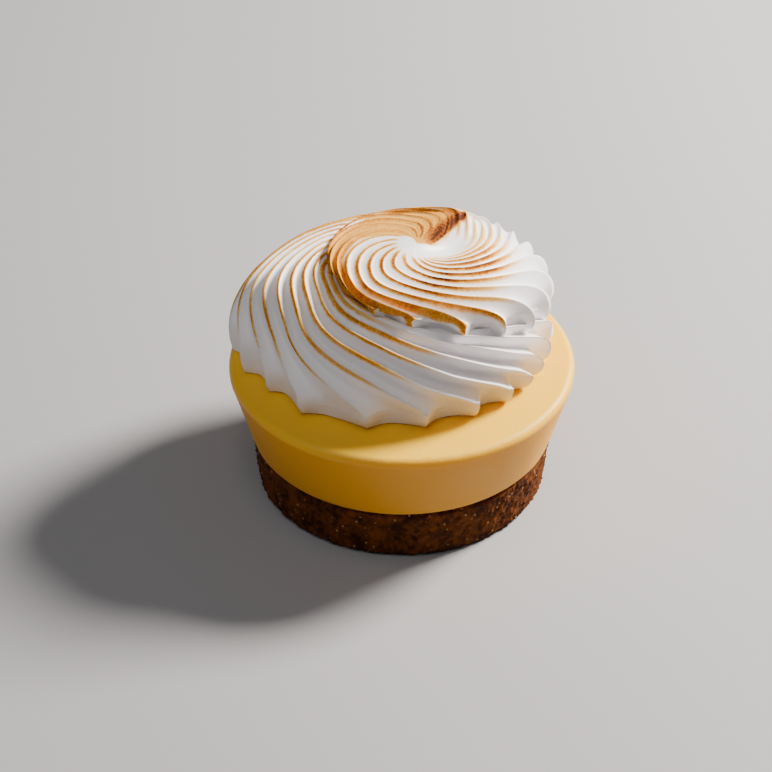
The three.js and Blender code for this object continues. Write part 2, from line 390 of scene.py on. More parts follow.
class PieCrumbSettings(bpy.types.PropertyGroup):
    """Sizes and colours of the crumb disc."""

    relief: FloatProperty(
        name="Relief",
        description="How far the crumbs stand out of the wall",
        default=0.55 * METRE,
        min=0.0,
        subtype="DISTANCE",
        unit="LENGTH",
    )
    crumb_size: FloatProperty(
        name="Crumb size",
        description="Width of a typical crumb",
        default=1.2 * METRE,
        min=0.2 * METRE,
        subtype="DISTANCE",
        unit="LENGTH",
    )
    dark: FloatVectorProperty(
        name="Dark crumb",
        description="Colour of the buttered crumb",
        default=(0.036, 0.009, 0.002),
        subtype="COLOR",
    )
    light: FloatVectorProperty(
        name="Light crumb",
        description="Colour of the driest crumbs",
        default=(0.17, 0.045, 0.006),
        subtype="COLOR",
    )


class PieLemonSettings(bpy.types.PropertyGroup):
    """Sizes of the lemon filling, and its colours: a deeper wall colour as painted shade and a
    paler top colour as painted light.
    """

    shoulder: FloatProperty(
        name="Shoulder",
        description="Radius of the edge between the wall and the top",
        default=1.7 * METRE,
        min=0.5 * METRE,
        subtype="DISTANCE",
        unit="LENGTH",
    )
    # Painted shade: the wall's colour is deeper than the top's to stand for the shade on the
    # wall. Both stand for the same cream.
    wall: FloatVectorProperty(
        name="Wall",
        description="Colour of the filling's wall",
        default=(0.74, 0.32, 0.007),
        subtype="COLOR",
    )
    # Painted light: the top's colour is paler than the wall's to stand for the light and sheen on
    # the top.
    top: FloatVectorProperty(
        name="Top",
        description="Colour of the filling's top",
        default=(0.86, 0.47, 0.012),
        subtype="COLOR",
    )


class PieMeringueSettings(bpy.types.PropertyGroup):
    """Sizes and colours of the piped meringue."""

    lower_ridges: IntProperty(
        name="Lower ridges",
        description="Number of ridges round the lower turn",
        default=25,
        min=6,
    )
    upper_ridges: IntProperty(
        name="Upper ridges",
        description="Number of ridges round the upper turn",
        default=21,
        min=6,
    )
    ridge_depth: FloatProperty(
        name="Ridge depth",
        description="Depth of the valleys, as a share of the piped depth",
        default=1.0,
        min=0.0,
        subtype="FACTOR",
    )
    line_width: FloatProperty(
        name="Torched line",
        description="Width of the torched line along a crest",
        default=0.66 * METRE,
        min=0.05 * METRE,
        subtype="DISTANCE",
        unit="LENGTH",
    )
    white: FloatVectorProperty(
        name="White",
        description="Colour of the meringue where the torch didn't reach",
        default=(0.90, 0.86, 0.86),
        subtype="COLOR",
    )
    cream: FloatVectorProperty(
        name="Cream",
        description="Colour of the barely torched meringue",
        default=(0.86, 0.53, 0.17),
        subtype="COLOR",
    )
    gold: FloatVectorProperty(
        name="Gold",
        description="Colour of the lightly torched meringue",
        default=(0.64, 0.26, 0.020),
        subtype="COLOR",
    )
    brown: FloatVectorProperty(
        name="Brown",
        description="Colour of the well torched meringue",
        default=(0.33, 0.090, 0.006),
        subtype="COLOR",
    )
    dark: FloatVectorProperty(
        name="Dark",
        description="Colour where the torch nearly burned the meringue",
        default=(0.065, 0.010, 0.001),
        subtype="COLOR",
    )


class PieStageSettings(bpy.types.PropertyGroup):
    """The floor's colour and the strength of the lights."""

    floor: FloatVectorProperty(
        name="Floor",
        description="Colour of the floor",
        default=(0.34, 0.33, 0.33),
        subtype="COLOR",
    )
    key: FloatProperty(
        name="Key light",
        description="Power of the light from the right and a little behind, in watts",
        default=33.0,
        min=0.0,
        unit="POWER",
    )
    fill: FloatProperty(
        name="Fill light",
        description="Power of the wide light overhead, in watts",
        default=2.4,
        min=0.0,
        unit="POWER",
    )
    sky: FloatProperty(
        name="Sky",
        description="Strength of the even light from all round",
        default=0.085,
        min=0.0,
    )


# ------------------------------ mesh helpers

# Vertices nearer than this merge, in millimetres.
PROFILE_MERGE = 1e-4
SWIRL_MERGE = 1e-3


def linked_object(name, data):
    """An object of the scene."""
    thing = bpy.data.objects.new(name, data)
    bpy.context.scene.collection.objects.link(thing)
    return thing


def shaped_object(name, shape, material):
    """Turns a bmesh into an object with one material."""
    mesh = bpy.data.meshes.new(name)
    shape.to_mesh(mesh)
    shape.free()
    mesh.materials.append(material)
    return linked_object(name, mesh)


def finished_piece(name, shape, node, material):
    """Turns a bmesh in millimetres into a smooth piece that replaces a CAD node."""
    bmesh.ops.scale(shape, vec=Vector((METRE, METRE, METRE)), verts=shape.verts)
    for face in shape.faces:
        face.smooth = True
    piece = shaped_object(name, shape, material)
    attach(piece, "root")
    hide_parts(node)


def spun_profile(profile, steps):
    """A closed body of revolution about Z from a profile that starts and ends on the axis."""
    shape = bmesh.new()
    corners = [shape.verts.new((across, 0, up)) for across, up in profile]
    for first, second in zip(corners, corners[1:]):
        shape.edges.new((first, second))
    bmesh.ops.spin(
        shape,
        geom=shape.verts[:] + shape.edges[:],
        axis=(0, 0, 1),
        cent=(0, 0, 0),
        angle=math.tau,
        steps=steps,
        use_merge=True,
    )
    bmesh.ops.remove_doubles(shape, verts=shape.verts, dist=PROFILE_MERGE)
    bmesh.ops.recalc_face_normals(shape, faces=shape.faces)
    return shape


def even_line(start, end, spacing):
    """Points from start towards end, no further apart than the spacing, without the end."""
    length = math.dist(start, end)
    steps = max(1, math.ceil(length / spacing))
    shares = [step / steps for step in range(steps)]
    return [
        (start[0] + (end[0] - start[0]) * share, start[1] + (end[1] - start[1]) * share)
        for share in shares
    ]


def draw_in(vert, inset):
    """Moves a vertex towards the Z axis."""
    share = 1 - inset / math.hypot(vert.co.x, vert.co.y)
    vert.co.x *= share
    vert.co.y *= share


def arc(centre, radius, start, end, steps):
    """Points on an arc of a profile, angles in degrees."""
    angles = [math.radians(start + (end - start) * step / steps) for step in range(steps + 1)]
    return [
        (centre[0] + radius * math.cos(angle), centre[1] + radius * math.sin(angle))
        for angle in angles
    ]


# ------------------------------ material helpers

# Noise stays mostly within this range.
NOISE_RANGE = (0.3, 0.7)
PIT_WIDTH = 0.45
PIT_DEPTH = 0.35
FINE_DETAIL = 4.0


def new_material(name):
    """A material with only a Principled BSDF and its output."""
    material = bpy.data.materials.new(name)
    material.use_nodes = True
    tree = material.node_tree
    tree.nodes.clear()
    output = tree.nodes.new("ShaderNodeOutputMaterial")
    shader = tree.nodes.new("ShaderNodeBsdfPrincipled")
    tree.links.new(shader.outputs["BSDF"], output.inputs["Surface"])
    return material, tree, shader


def plug(tree, socket, value):
    """Links a socket to another, or sets it to a value."""
    if isinstance(value, bpy.types.NodeSocket):
        tree.links.new(value, socket)
    elif value is not None:
        socket.default_value = value


def maths(tree, operation, first, second=None, third=None):
    """A Math node's result."""
    node = tree.nodes.new("ShaderNodeMath")
    node.operation = operation
    for socket, value in zip(node.inputs, (first, second, third)):
        plug(tree, socket, value)
    return node.outputs[0]


def ramp(tree, value, low, high, start=0.0, end=1.0):
    """A smooth change from start to end as the value goes from low to high."""
    node = tree.nodes.new("ShaderNodeMapRange")
    node.interpolation_type = "SMOOTHSTEP"
    for name, number in (
        ("Value", value),
        ("From Min", low),
        ("From Max", high),
        ("To Min", start),
        ("To Max", end),
    ):
        plug(tree, node.inputs[name], number)
    return node.outputs["Result"]


def mix_colour(tree, share, first, second):
    """One colour changing into another."""
    node = tree.nodes.new("ShaderNodeMix")
    node.data_type = "RGBA"
    plug(tree, node.inputs["Factor"], share)
    sockets = [socket for socket in node.inputs if socket.type == "RGBA"]
    for socket, colour in zip(sockets, (first, second)):
        if not isinstance(colour, bpy.types.NodeSocket):
            colour = (*colour, 1.0)
        plug(tree, socket, colour)
    return next(socket for socket in node.outputs if socket.type == "RGBA")


def attribute(tree, name):
    """A number stored on the piece's vertices."""
    node = tree.nodes.new("ShaderNodeAttribute")
    node.attribute_name = name
    return node.outputs["Fac"]


def cells(tree, vector, scale):
    """The distance from the middle of the nearest cell, and that cell's own colour."""
    node = tree.nodes.new("ShaderNodeTexVoronoi")
    plug(tree, node.inputs["Vector"], vector)
    plug(tree, node.inputs["Scale"], scale)
    return node.outputs["Distance"], node.outputs["Color"]


def noise_value(tree, vector, scale, detail=3.0):
    """Noise around 0.5 at a scale of so many waves a metre."""
    node = tree.nodes.new("ShaderNodeTexNoise")
    plug(tree, node.inputs["Vector"], vector)
    plug(tree, node.inputs["Scale"], scale)
    node.inputs["Detail"].default_value = detail
    return node.outputs["Fac"]


def object_place(tree):
    """The place on the piece, in metres."""
    return tree.nodes.new("ShaderNodeTexCoord").outputs["Object"]


def bump(tree, height, distance):
    """A normal from a height, whose full range stands for a distance in metres."""
    node = tree.nodes.new("ShaderNodeBump")
    node.inputs["Distance"].default_value = distance
    plug(tree, node.inputs["Height"], height)
    return node.outputs["Normal"]


def pores_group():
    """Fine pores and soft mottling, which all three layers have at their own scale."""
    name = "Pores"
    if name in bpy.data.node_groups:
        return bpy.data.node_groups[name]
    group = bpy.data.node_groups.new(name, "ShaderNodeTree")
    face = group.interface
    face.new_socket("Vector", in_out="INPUT", socket_type="NodeSocketVector")
    for label in ("Pore Scale", "Mottle Scale"):
        face.new_socket(label, in_out="INPUT", socket_type="NodeSocketFloat")
    for label in ("Height", "Mottle"):
        face.new_socket(label, in_out="OUTPUT", socket_type="NodeSocketFloat")
    given = group.nodes.new("NodeGroupInput")
    result = group.nodes.new("NodeGroupOutput")
    place = given.outputs["Vector"]
    pore_scale = given.outputs["Pore Scale"]
    off_pore, _ = cells(group, place, pore_scale)
    pits = ramp(group, off_pore, 0.0, PIT_WIDTH)
    fine = noise_value(group, place, pore_scale, FINE_DETAIL)
    height = maths(group, "MULTIPLY_ADD", pits, PIT_DEPTH, fine)
    mottle = noise_value(group, place, given.outputs["Mottle Scale"])
    plug(group, result.inputs["Height"], height)
    plug(group, result.inputs["Mottle"], mottle)
    return group


def pores(tree, pore_scale, mottle_scale):
    """The pores group placed in a material; returns its height and its mottling."""
    node = tree.nodes.new("ShaderNodeGroup")
    node.node_tree = pores_group()
    plug(tree, node.inputs["Vector"], object_place(tree))
    node.inputs["Pore Scale"].default_value = pore_scale
    node.inputs["Mottle Scale"].default_value = mottle_scale
    return node.outputs["Height"], node.outputs["Mottle"]


# ------------------------------ crumb disc

# Millimetres. The rings are fine on the wall and its edges, and wider on the underside.
CRUMB_EDGE = 1.0
CRUMB_FOOT_RADIUS = 34.1
CRUMB_TOP_RADIUS = 35.1
CRUMB_SPACING = 0.36
CRUMB_COLUMNS = 600
UNDERSIDE_WIDTH = 6.0
UNDERSIDE_SPACING = 1.5
SMOOTH_INSIDE = CRUMB_FOOT_RADIUS - 1.5 * CRUMB_EDGE

# A crumb is highest in the middle of its cell. Coarse and fine noise is added, each with so
# many waves a crumb and a share of the height.
CRUMB_FALL = 1.25
COARSE_WAVES = 0.35
COARSE_SHARE = 0.45
FINE_WAVES = 3.1
FINE_SHARE = 0.25
CRUMB_HIGHEST = 1.15

# Scales are in waves a metre, and a bump's depth is in metres.
CRUMB_PORES = (2600.0, 240.0)
CRUMB_PORE_DEPTH = 0.00025
CELL_TONE = 0.35
TONE_RANGE = (0.42, 0.95)
CRUMB_ROUGHNESS = 0.85
SUGAR_ROUGHNESS = 0.3
SUGAR_SCALE = 760.0
SUGAR_EDGE = (0.16, 0.28)
SUGAR_CHOICE = (0.70, 0.76)
SUGAR_COLOUR = (0.42, 0.22, 0.08)


def crumb_mesh(settings):
    """A disc whose wall is broken up into real crumbs."""
    height = CRUMB_HIGH.z
    foot = (CRUMB_FOOT_RADIUS, CRUMB_EDGE)
    lip = (CRUMB_TOP_RADIUS, height - CRUMB_EDGE)
    underside = (CRUMB_FOOT_RADIUS - UNDERSIDE_WIDTH, 0)
    underside_end = (CRUMB_FOOT_RADIUS - CRUMB_EDGE, 0)
    profile = [(0, 0)]
    profile += even_line(underside, underside_end, UNDERSIDE_SPACING)
    profile += even_line(underside_end, foot, CRUMB_SPACING)
    profile += even_line(foot, lip, CRUMB_SPACING)
    profile += even_line(lip, (CRUMB_TOP_RADIUS - CRUMB_EDGE, height), CRUMB_SPACING)
    profile += [(CRUMB_TOP_RADIUS - CRUMB_EDGE, height), (0, height)]
    shape = spun_profile(profile, CRUMB_COLUMNS)
    relief = settings.relief / METRE
    grain = METRE / settings.crumb_size
    for vert in shape.verts:
        place = vert.co
        out = math.hypot(place.x, place.y)
        if out < SMOOTH_INSIDE:
            continue
        nearest = noise.voronoi(place * grain)[0][0]
        crumbs = 1 - min(1.0, nearest * CRUMB_FALL)
        coarse = noise.noise(place * grain * COARSE_WAVES)
        fine = noise.noise(place * grain * FINE_WAVES)
        height_out = crumbs + COARSE_SHARE * coarse + FINE_SHARE * fine
        draw_in(vert, relief * (CRUMB_HIGHEST - min(max(height_out, 0.0), CRUMB_HIGHEST)))
    return shape


def crumb_material(settings):
    """Dark buttered crumb with drier crumbs and grains of sugar in it."""
    material, tree, shader = new_material("biscuit_crumb")
    place = object_place(tree)
    _, crumb_tone = cells(tree, place, 1 / settings.crumb_size)
    height, mottle = pores(tree, *CRUMB_PORES)
    tone = maths(tree, "MULTIPLY_ADD", crumb_tone, CELL_TONE, mottle)
    tone = ramp(tree, tone, *TONE_RANGE)
    colour = mix_colour(tree, tone, settings.dark, settings.light)
    off_grain, grain_tone = cells(tree, place, SUGAR_SCALE)
    near = ramp(tree, off_grain, *SUGAR_EDGE, 1.0, 0.0)
    chosen = ramp(tree, grain_tone, *SUGAR_CHOICE)
    sugar = maths(tree, "MULTIPLY", near, chosen)
    colour = mix_colour(tree, sugar, colour, SUGAR_COLOUR)
    roughness = ramp(tree, sugar, 0.0, 1.0, CRUMB_ROUGHNESS, SUGAR_ROUGHNESS)
    plug(tree, shader.inputs["Base Color"], colour)
    plug(tree, shader.inputs["Roughness"], roughness)
    plug(tree, shader.inputs["Normal"], bump(tree, height, CRUMB_PORE_DEPTH))
    shader.inputs["Specular IOR Level"].default_value = 0.12
    return material


class PIE_OT_crumb(bpy.types.Operator):
    """Builds the crumb disc."""

    bl_idname = "pie.crumb"
    bl_label = "Crumb disc"

    def execute(self, context):
        settings = context.scene.pie_crumb
        material = crumb_material(settings)
        finished_piece("crumb_disc", crumb_mesh(settings), "crumb_base", material)
        return {"FINISHED"}


# ------------------------------ lemon filling

# Millimetres. A spacing is the widest that the rings of that part may be apart.
LEMON_FOOT_RADIUS = 35.3
LEMON_TOP_RADIUS = 39.97
LEMON_FOOT_EDGE = 0.5
LEMON_COLUMNS = 360
LEMON_FOOT_SPACING = 0.4
LEMON_WALL_SPACING = 0.6
LEMON_TOP_SPACING = 1.2
LEMON_MIDDLE = 2.0
SHOULDER_STEPS = 24

# The set cream is drawn in unevenly, except in the middle and on the underside. Each kind
# of wave has so many waves a millimetre and a share.
LEMON_WAVES = ((0.09, 0.5), (0.32, 0.22))
LEMON_INSET = 0.18
LEMON_HIGHEST = 0.7
EVEN_INSIDE = 5.0
UNDERSIDE_CLEAR = 0.01

# Scales are in waves a metre. Depths and the heights of the edge between the wall's painted shade
# and the top's painted light are in metres.
LEMON_PORES = (1500.0, 60.0)
LEMON_PORE_DEPTH = 0.00006
PAINTED_SHADE_EDGE = (0.0305, 0.0330)
PAINTED_SHADE_EDGE_WANDER = 0.002
LEMON_ROUGHNESS = (0.42, 0.56)


def lemon_mesh(settings):
    """A cone frustum of set cream that widens upwards to a rounded shoulder."""
    shoulder = settings.shoulder / METRE
    foot = (LEMON_FOOT_RADIUS, LEMON_LOW.z + LEMON_FOOT_EDGE)
    centre = (LEMON_TOP_RADIUS - shoulder, LEMON_HIGH.z - shoulder)
    rise = LEMON_HIGH.z - LEMON_LOW.z
    lean = math.degrees(math.atan((LEMON_TOP_RADIUS - LEMON_FOOT_RADIUS) / rise))
    bend = arc(centre, shoulder, -lean, 90, SHOULDER_STEPS)
    underside = (LEMON_FOOT_RADIUS - LEMON_FOOT_EDGE, LEMON_LOW.z)
    middle = (LEMON_MIDDLE, LEMON_HIGH.z)
    profile = [(0, LEMON_LOW.z)]
    profile += even_line(underside, foot, LEMON_FOOT_SPACING)
    profile += even_line(foot, bend[0], LEMON_WALL_SPACING)
    profile += bend
    profile += even_line(bend[-1], middle, LEMON_TOP_SPACING)[1:]
    profile += [(0, LEMON_HIGH.z)]
    shape = spun_profile(profile, LEMON_COLUMNS)
    for vert in shape.verts:
        place = vert.co
        out = math.hypot(place.x, place.y)
        if out < EVEN_INSIDE or place.z <= LEMON_LOW.z + UNDERSIDE_CLEAR:
            continue
        wave = sum(noise.noise(place * waves) * share for waves, share in LEMON_WAVES)
        draw_in(vert, LEMON_INSET * (LEMON_HIGHEST - min(wave, LEMON_HIGHEST)))
    return shape


def lemon_material(settings):
    """Set lemon cream: a deeper wall painted as shade, a paler top painted as light, and light
    that sinks in.
    """
    material, tree, shader = new_material("lemon_cream")
    height, mottle = pores(tree, *LEMON_PORES)
    split = tree.nodes.new("ShaderNodeSeparateXYZ")
    plug(tree, split.inputs["Vector"], object_place(tree))
    # Painted light and shade: below the edge the wall gets its deeper, shaded colour, and above
    # it the top gets its paler, lit colour. The mottling makes the edge wander.
    level = maths(tree, "MULTIPLY_ADD", mottle, PAINTED_SHADE_EDGE_WANDER, split.outputs["Z"])
    up = ramp(tree, level, *PAINTED_SHADE_EDGE)
    colour = mix_colour(tree, up, settings.wall, settings.top)
    roughness = ramp(tree, mottle, *NOISE_RANGE, *LEMON_ROUGHNESS)
    plug(tree, shader.inputs["Base Color"], colour)
    plug(tree, shader.inputs["Roughness"], roughness)
    plug(tree, shader.inputs["Normal"], bump(tree, height, LEMON_PORE_DEPTH))
    shader.inputs["Subsurface Weight"].default_value = 0.35
    shader.inputs["Subsurface Radius"].default_value = (1.0, 0.55, 0.12)
    shader.inputs["Subsurface Scale"].default_value = 0.005
    shader.inputs["Specular IOR Level"].default_value = 0.32
    return material


class PIE_OT_lemon(bpy.types.Operator):
    """Builds the lemon filling."""

    bl_idname = "pie.lemon"
    bl_label = "Lemon filling"

    def execute(self, context):
        settings = context.scene.pie_lemon
        material = lemon_material(settings)
        finished_piece("lemon_cream", lemon_mesh(settings), "lemon_filling", material)
        return {"FINISHED"}


# ------------------------------ meringue

COLUMNS_PER_RIDGE = 18
DOME_ROWS = 72
CURL_ROWS = 30
SEAT_ROWS = 3
LEE_SIDE = 3.0

# Each unevenness has so many waves a millimetre and an amount in millimetres. The fixed seed
# makes it the same every time.
UNEVEN_SIZES = ((0.085, 0.2), (0.35, 0.05))
UNEVEN_SEED = 7

# Where the ridges turn down at the rim their valleys crease, and are smoothed between crests.
SMOOTH_FROM = 0.9
SMOOTH_TO = 1.4
SMOOTH_CLEAR = 0.12
SMOOTH_PASSES = 10
SMOOTH_SHARE = 0.5

# The torch marks a line along each crest. The line's end is a way from the middle, given for
# some ridges and worked out between them, and the line fades out over the way before it.
LOWER_LINE_RIDGES = (0, 3, 4, 5, 6, 7, 9, 14, 24)
LOWER_LINE_ENDS = (0.86, 0.83, 0.78, 0.74, 0.66, 0.45, 0.4, 0.8, 0.9)
LOWER_LINE_STRENGTH = 0.52
LOWER_LINE_FADE = 0.16
UPPER_LINE_RIDGES = (0, 2, 3, 4, 5, 6, 8, 12, 15, 17, 21)
UPPER_LINE_ENDS = (1.3, 1.5, 1.35, 1.05, 0.75, 0.62, 0.62, 0.55, 0.5, 0.9, 1.3)
UPPER_LINE_STRENGTH = 0.56
UPPER_LINE_FADE = 0.22
LINE_OVERRUN = 0.03

# An upper line begins a little way out, and nearer to the middle on the last ridges, where it
# is also stronger. The front is strongest, and no line lies in the hollow beside the peak.
LINE_BEGIN = 0.07
LINE_BEGIN_FADE = 0.05
LINE_NEARER = 0.06
NEARER_RIDGES = (16.4, 17.4)
LAST_STRENGTH = 0.16
LAST_RIDGES = (15, 17)
FRONT_STRENGTH = 0.44
FRONT_RIDGE = 8.0
FRONT_RIDGES = 3.5
FRONT_WAY = 0.3
FRONT_WAYS = 0.2
HOLLOW_CLEAR = 1.5
HOLLOW_CLEAR_SPREAD = 0.8

# The lower lines vary in width. The first upper lines widen towards the rim and narrow again
# under it. Each widening has an amount, a middle ridge and a number of ridges.
LOWER_WIDTH_SWING = 0.2
LOWER_WIDTH_WAVES = 2.3
WIDENINGS = ((4.5, 1.2, 1.2), (2.2, 3.0, 0.6))
WIDEN_WAYS = (0.45, 0.9)
NARROW_WAYS = (0.98, 1.12)
NARROW_SHARE = 0.85


def until(way, end, fade):
    """1 along a torched line, falling to 0 at its end."""
    return 1 - smooth_step(way, end - fade, end + LINE_OVERRUN)


def lower_lines(ridge, way):
    """How strongly the torch marked the lower turn's crests, from 0 to 1."""
    end = np.interp(ridge, LOWER_LINE_RIDGES, LOWER_LINE_ENDS)
    return LOWER_LINE_STRENGTH * until(way, end, LOWER_LINE_FADE)


def upper_lines(ridge, way, place):
    """How strongly the torch marked the upper turn's crests, from 0 to 1."""
    end = np.interp(ridge, UPPER_LINE_RIDGES, UPPER_LINE_ENDS)
    begin = LINE_BEGIN - LINE_NEARER * smooth_step(ridge, *NEARER_RIDGES)
    start = smooth_step(way, begin, begin + LINE_BEGIN_FADE)
    ahead, left = seen_from_peak(place[:, 0], place[:, 1])
    hollow = np.minimum(HOLLOW_CLEAR * hollow_share(ahead, left, HOLLOW_CLEAR_SPREAD), 1)
    front = bell(ridge - FRONT_RIDGE, FRONT_RIDGES) * bell(way - FRONT_WAY, FRONT_WAYS)
    last = smooth_step(ridge, *LAST_RIDGES)
    strength = UPPER_LINE_STRENGTH + FRONT_STRENGTH * front + LAST_STRENGTH * last
    return strength * start * (1 - hollow) * until(way, end, UPPER_LINE_FADE)


def line_spread(turn, ridge, way):
    """How many times wider than elsewhere the torched lines are."""
    if turn is LOWER_TURN:
        return 1 + LOWER_WIDTH_SWING * np.sin(ridge * LOWER_WIDTH_WAVES)
    narrow = NARROW_SHARE * smooth_step(way, *NARROW_WAYS)
    nose = smooth_step(way, *WIDEN_WAYS) * (1 - narrow)
    wide = sum(amount * bell(ridge - middle, width) for amount, middle, width in WIDENINGS)
    return 1 + wide * nose


# The glazed patch lies between two lines round the middle of the upper swirl. It starts at
# the peak and follows the upper turn's left edge to the front. Degrees and millimetres.
GLAZE_TURN = (30, 55, 75, 95, 128, 145, 165, 197, 230, 252)
GLAZE_INNER = (0.0, 0.0, 0.0, 0.6, 4.0, 7.0, 13.2, 17.2, 19.8, 22.5)
GLAZE_OUTER = (17.2, 17.2, 18.5, 20.0, 18.5, 17.8, 19.8, 23.5, 26.0, 27.0)
GLAZE_INNER_FADE = (-0.3, 0.5)
GLAZE_OUTER_FADE = (-0.9, 0.5)
GLAZE_STARTS = (12, 20)
GLAZE_STOPS = (236, 252)

# Beside the peak the patch ends at a crisp slanted edge to the right of the tip, and just
# ahead of it. Past this turn the edge no longer counts.
EDGE_SLANT = 0.09
EDGE_RIGHT = 0.65
EDGE_FADE = 0.15
EDGE_AHEAD = (0.4, 1.2)
EDGE_UNTIL = 130

# It is darkest on the tip and along the ridge line behind the edge, brown along the back of
# the outer line, lighter in a band round the left, and lightest elsewhere.
TIP_STRENGTH = 1.5
TIP_AHEAD = -0.8
TIP_LEFT = 0.4
TIP_SHORTER = 0.5
TIP_RADIUS = 1.0
SPINE_LEFT = 1.0
SPINE_WIDTH = 3.0
SPINE_AHEAD = (-18, -9)
BACK_STRENGTH = 0.74
BACK_INSIDE = 2.4
BACK_SPREAD = 2.6
BACK_STOPS = (100, 135)
BAND_STRENGTH = 0.46
BAND_STARTS = (140, 172)
RIM_STRENGTH = 0.2
RIM_SPREAD = 1.0
RIM_STARTS = (150, 180)
LEAST_STRENGTH = 0.44

# The end of the first ridge is browned too.
NOSE_STRENGTH = 0.62
NOSE_RIDGE = 0.3
NOSE_RIDGES = 0.5
NOSE_STARTS = (0.85, 1.0)
NOSE_STOPS = (1.15, 1.4)


def patch_outline(turned, out, inner, outer):
    """Where the glazed patch is, from 0 outside its lines to 1 inside them."""
    past_inner = smooth_step(out, inner + GLAZE_INNER_FADE[0], inner + GLAZE_INNER_FADE[1])
    past_outer = smooth_step(out, outer + GLAZE_OUTER_FADE[0], outer + GLAZE_OUTER_FADE[1])
    started = smooth_step(turned, *GLAZE_STARTS)
    stopped = smooth_step(turned, *GLAZE_STOPS)
    return past_inner * (1 - past_outer) * started * (1 - stopped)


def patch_strength(turned, out, inner, outer, ahead, side):
    """How dark the glazed patch is inside its lines."""
    spine = bell(side - SPINE_LEFT, SPINE_WIDTH) * smooth_step(ahead, *SPINE_AHEAD)
    off_tip = np.hypot(TIP_SHORTER * (ahead - TIP_AHEAD), side - TIP_LEFT)
    peak = np.maximum(spine, TIP_STRENGTH * bell(off_tip, TIP_RADIUS))
    back = BACK_STRENGTH * bell(out - outer + BACK_INSIDE, BACK_SPREAD)
    back = back * (1 - smooth_step(turned, *BACK_STOPS))
    band = BAND_STRENGTH * smooth_step(turned, *BAND_STARTS)
    rim = RIM_STRENGTH * bell(out - inner, RIM_SPREAD) * smooth_step(turned, *RIM_STARTS)
    return np.maximum(np.maximum(peak, back), np.maximum(band + rim, LEAST_STRENGTH))


def glazed_patch(ridge, way, place):
    """How strongly the torch browned the upper turn's left side and peak, from 0 to 1."""
    x = place[:, 0] - UPPER_TURN.swirl_centre[0]
    y = place[:, 1] - UPPER_TURN.swirl_centre[1]
    turned = np.degrees(np.arctan2(y, x)) % 360
    out = np.hypot(x, y)
    inner = np.interp(turned, GLAZE_TURN, GLAZE_INNER)
    outer = np.interp(turned, GLAZE_TURN, GLAZE_OUTER)
    inside = patch_outline(turned, out, inner, outer)
    ahead, left = seen_from_peak(place[:, 0], place[:, 1])
    side = left - EDGE_SLANT * ahead + EDGE_RIGHT
    crisp = smooth_step(side, -EDGE_FADE, EDGE_FADE) * (1 - smooth_step(ahead, *EDGE_AHEAD))
    crisp = np.where(turned > EDGE_UNTIL, 1, crisp)
    strength = patch_strength(turned, out, inner, outer, ahead, side)
    nose = NOSE_STRENGTH * bell(ridge - NOSE_RIDGE, NOSE_RIDGES)
    nose = nose * smooth_step(way, *NOSE_STARTS) * (1 - smooth_step(way, *NOSE_STOPS))
    return np.maximum(inside * crisp * strength, nose)


def turn_grid(ridges):
    """A flat grid, with the ridge number and the way from the middle of each vertex."""
    rows = DOME_ROWS + CURL_ROWS + SEAT_ROWS
    shape = bmesh.new()
    shape.loops.layers.uv.new("UVMap")
    bmesh.ops.create_grid(
        shape,
        x_segments=ridges * COLUMNS_PER_RIDGE,
        y_segments=rows,
        size=0.5,
        calc_uvs=True,
    )
    flat = np.array([vert.co for vert in shape.verts])
    ridge = (flat[:, 0] + 0.5) * ridges
    row = (flat[:, 1] + 0.5) * rows
    ends = (0, DOME_ROWS, DOME_ROWS + CURL_ROWS, rows)
    way = np.interp(row, ends, (0.0, 1.0, 2.0, 3.0))
    return shape, ridge, way


def torch_marks(turn, ridge, way, place, width):
    """The distance from a crest and the strength of the torch's line and patch, by name."""
    off_crest = ridge - np.round(ridge)
    off_crest = np.where(off_crest > 0, LEE_SIDE, 1.0) * np.abs(off_crest) * width
    if turn is LOWER_TURN:
        lines = lower_lines(ridge, way)
        patches = np.zeros(len(place))
    else:
        lines = upper_lines(ridge, way, place)
        patches = glazed_patch(ridge, way, place)
    crests = off_crest / line_spread(turn, ridge, way)
    return {"crest": crests, "line": lines, "patch": patches}


def store_marks(shape, marks):
    """Stores each mark on the vertices, under its name."""
    for name, values in marks.items():
        layer = shape.verts.layers.float.new(name)
        for vert, value in zip(shape.verts, values):
            vert[layer] = value


def smooth_rim_valleys(shape, ridge, way):
    """Smooths the creases where the valleys turn down at the rim."""
    in_valley = np.abs(ridge - np.round(ridge)) > SMOOTH_CLEAR
    creased = (way > SMOOTH_FROM) & (way < SMOOTH_TO) & in_valley
    soft = [vert for vert, chosen in zip(shape.verts, creased) if chosen]
    for _ in range(SMOOTH_PASSES):
        bmesh.ops.smooth_vert(
            shape,
            verts=soft,
            factor=SMOOTH_SHARE,
            use_axis_x=True,
            use_axis_y=True,
            use_axis_z=True,
        )


def turn_mesh(turn, ridges, depth):
    """A grid of ridges by ways, wrapped round the dome and closed underneath."""
    shape, ridge, way = turn_grid(ridges)
    place, width = swirl_surface(turn, ridges, depth, ridge, way)
    noise.seed_set(UNEVEN_SEED)
    for vert, spot in zip(shape.verts, place):
        vert.co = spot
        for waves, amount in UNEVEN_SIZES:
            vert.co += amount * noise.noise_vector(Vector(spot) * waves)
    store_marks(shape, torch_marks(turn, ridge, way, place, width))
    smooth_rim_valleys(shape, ridge, way)
    bmesh.ops.remove_doubles(shape, verts=shape.verts, dist=SWIRL_MERGE)
    bmesh.ops.recalc_face_normals(shape, faces=shape.faces)
    return shape


# The shares at which the meringue is white, cream, gold, brown and dark.
TOAST_STOPS = (0.0, 0.22, 0.48, 0.72, 1.0)

